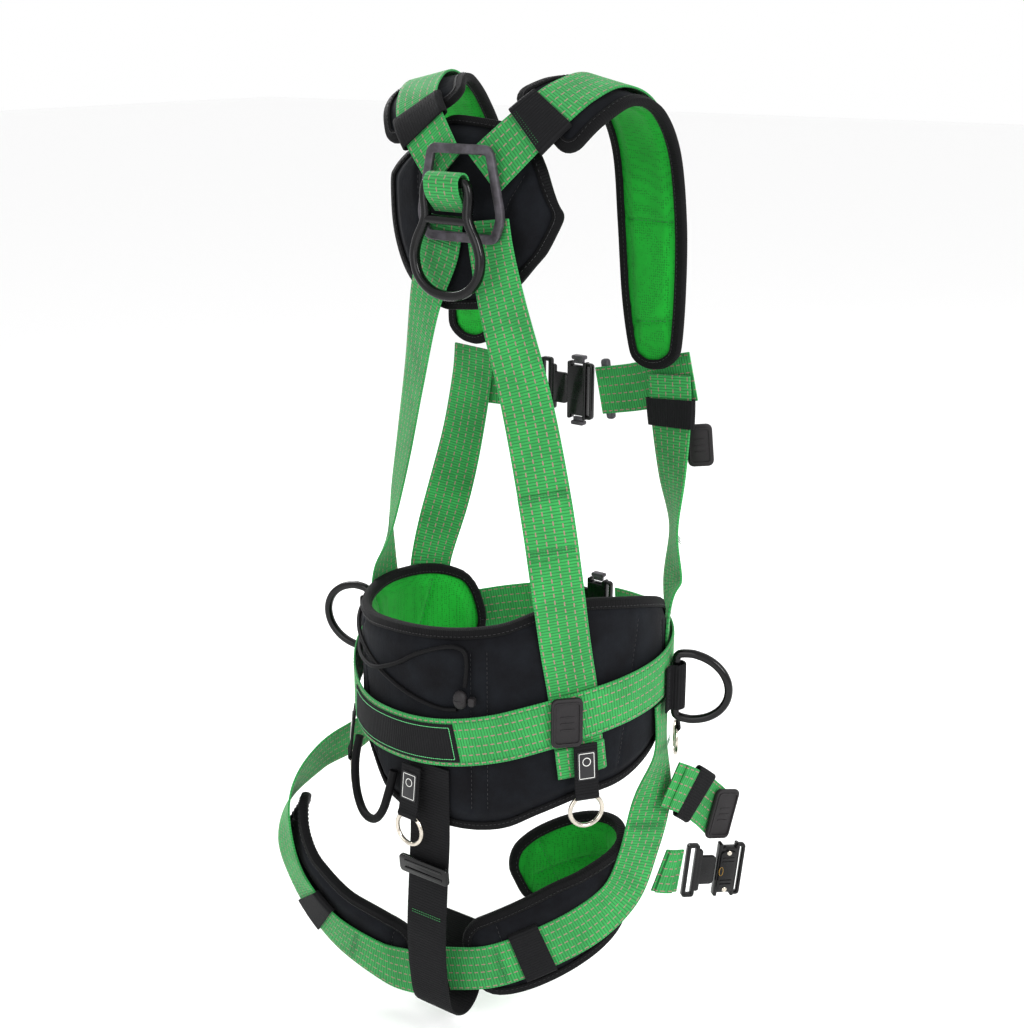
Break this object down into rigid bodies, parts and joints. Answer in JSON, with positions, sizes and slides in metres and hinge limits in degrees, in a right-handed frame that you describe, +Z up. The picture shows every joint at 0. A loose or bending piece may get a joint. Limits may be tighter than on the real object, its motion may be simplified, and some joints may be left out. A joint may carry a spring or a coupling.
{
  "type": "tree climbing harness",
  "caption": "Full-body tree climbing and positioning harness with padded yoke, waist pad, leg loops, swinging rings and quick-release buckles",
  "frame": {"origin": "middle of the dorsal plate's top bar, where the harness hangs", "axes": "the wearer faces -Y, the wearer's left is +X, up is +Z"},
  "size_m": [0.4245, 0.2951, 0.86],
  "materials": {
    "webbing": "woven polyester webbing, ribbed, with tracer threads",
    "pad": "padded laminate with knitted face and bound edges",
    "black_web": "woven black webbing",
    "black_metal": "gloss black coated forged alloy",
    "grey_metal": "satin grey coated alloy",
    "steel": "polished nickel-plated steel wire",
    "rubber": "moulded matt rubber",
    "cord": "braided elastic cord"
  },
  "bodies": {
    "root": {"shoulder_strap_right": "webbing", "shoulder_strap_left": "webbing", "dorsal_loop": "webbing", "back_strap_right": "webbing", "back_strap_left": "webbing", "front_strap_right": "webbing", "front_strap_left": "webbing", "chest_band_left": "webbing", "chest_band_right": "webbing", "belt_strap": "webbing", "leg_strap_right": "webbing", "leg_strap_left": "webbing", "leg_branch_right": "webbing", "leg_front_right": "webbing", "yoke_shield": "pad", "shoulder_pad_right": "pad", "shoulder_pad_left": "pad", "waist_pad": "pad", "leg_pad_right": "pad", "leg_pad_left": "pad", "side_ring_loop_right": "black_web", "side_ring_loop_left": "black_web", "riser_strap": "black_web", "gear_loop": "black_web", "tool_loop_right": "black_web", "tool_loop_back_right": "black_web", "tool_loop_back": "black_web", "tool_loop_back_left": "black_web", "tool_loop_left": "black_web", "chest_buckle_tongue": "black_metal", "chest_buckle_housing": "black_metal", "belt_buckle_tongue": "black_metal", "belt_buckle_housing": "black_metal", "leg_buckle_tongue": "black_metal", "leg_buckle_housing": "black_metal", "dorsal_plate": "grey_metal", "belt_tab": "rubber", "front_strap_tab": "rubber", "leg_branch_tab": "rubber", "cord_lock": "rubber", "lacing_lower": "cord", "lacing_upper": "cord"},
    "dorsal_ring": {"dorsal_ring": "black_metal"},
    "side_ring_right": {"side_ring_right": "black_metal"},
    "side_ring_left": {"side_ring_left": "black_metal"},
    "tool_ring_right": {"tool_ring_right": "steel"},
    "tool_ring_back_right": {"tool_ring_back_right": "steel"},
    "tool_ring_back": {"tool_ring_back": "steel"},
    "tool_ring_back_left": {"tool_ring_back_left": "steel"},
    "tool_ring_left": {"tool_ring_left": "steel"},
    "chest_buckle_latch_upper": {"chest_buckle_latch_upper": "grey_metal"},
    "chest_buckle_latch_lower": {"chest_buckle_latch_lower": "grey_metal"},
    "belt_buckle_latch_upper": {"belt_buckle_latch_upper": "grey_metal"},
    "belt_buckle_latch_lower": {"belt_buckle_latch_lower": "grey_metal"},
    "chest_slide_bar": {"chest_slide_bar": "grey_metal"},
    "belt_slide_bar": {"belt_slide_bar": "grey_metal"},
    "riser_slide": {"riser_slide": "black_metal"},
    "cord_lock_button": {"cord_lock_button": "rubber"}
  },
  "joints": [
    {"name": "dorsal_ring_swing", "type": "hinge", "parent": "root", "child": "dorsal_ring", "pos_m": [0.003, 0.0175, -0.027], "axis": [1, 0, 0], "range_deg": [0, 150]},
    {"name": "side_ring_right_swing", "type": "hinge", "parent": "root", "child": "side_ring_right", "pos_m": [-0.16354, -0.10341, -0.48], "axis": [0, 0, 1], "range_deg": [-65, 65]},
    {"name": "side_ring_left_swing", "type": "hinge", "parent": "root", "child": "side_ring_left", "pos_m": [0.16012, -0.04689, -0.47], "axis": [0, 0, 1], "range_deg": [-65, 65]},
    {"name": "tool_ring_right_swing", "type": "hinge", "parent": "root", "child": "tool_ring_right", "pos_m": [-0.14604, -0.13539, -0.53518], "axis": [-0.5408, 0.8411, 0], "range_deg": [-5, 80]},
    {"name": "tool_ring_back_right_swing", "type": "hinge", "parent": "root", "child": "tool_ring_back_right", "pos_m": [-0.14162, 0.01186, -0.55], "axis": [0.5869, 0.8097, 0], "range_deg": [-5, 80]},
    {"name": "tool_ring_back_swing", "type": "hinge", "parent": "root", "child": "tool_ring_back", "pos_m": [0.0072, 0.07776, -0.5876], "axis": [0.9982, -0.0602, 0], "range_deg": [-5, 80]},
    {"name": "tool_ring_back_left_swing", "type": "hinge", "parent": "root", "child": "tool_ring_back_left", "pos_m": [0.12367, 0.02411, -0.58033], "axis": [0.6715, -0.741, 0], "range_deg": [-5, 80]},
    {"name": "tool_ring_left_swing", "type": "hinge", "parent": "root", "child": "tool_ring_left", "pos_m": [0.14208, -0.12871, -0.5602], "axis": [-0.4924, -0.8704, 0], "range_deg": [-5, 80]},
    {"name": "chest_latch_upper_press", "type": "slide", "parent": "root", "child": "chest_buckle_latch_upper", "axis": [0, 0, -1], "range_m": [0, 0.0015], "stiffness_N_per_m": 300, "springref_m": -0.001},
    {"name": "chest_latch_lower_press", "type": "slide", "parent": "root", "child": "chest_buckle_latch_lower", "axis": [0, 0, 1], "range_m": [0, 0.0015], "stiffness_N_per_m": 300, "springref_m": -0.001},
    {"name": "belt_latch_upper_press", "type": "slide", "parent": "root", "child": "belt_buckle_latch_upper", "axis": [0, 0, -1], "range_m": [0, 0.0015], "stiffness_N_per_m": 300, "springref_m": -0.001},
    {"name": "belt_latch_lower_press", "type": "slide", "parent": "root", "child": "belt_buckle_latch_lower", "axis": [0, 0, 1], "range_m": [0, 0.0015], "stiffness_N_per_m": 300, "springref_m": -0.001},
    {"name": "chest_adjuster_slide", "type": "slide", "parent": "root", "child": "chest_slide_bar", "axis": [-0.9903, 0, 0.1386], "range_m": [0, 0.02]},
    {"name": "belt_adjuster_slide", "type": "slide", "parent": "root", "child": "belt_slide_bar", "axis": [-0.79, 0.6132, 0], "range_m": [-0.008, 0.008]},
    {"name": "riser_adjuster_slide", "type": "slide", "parent": "root", "child": "riser_slide", "axis": [0, 0.0995, 0.995], "range_m": [-0.004, 0.008]},
    {"name": "cord_lock_button_press", "type": "slide", "parent": "root", "child": "cord_lock_button", "axis": [0.973, 0.231, 0], "range_m": [0, 0.0012], "stiffness_N_per_m": 200, "springref_m": -0.002}
  ],
  "couplings": [
    {"joint": "chest_latch_lower_press", "follows": "chest_latch_upper_press", "ratio": 1},
    {"joint": "belt_latch_lower_press", "follows": "belt_latch_upper_press", "ratio": 1}
  ]
}
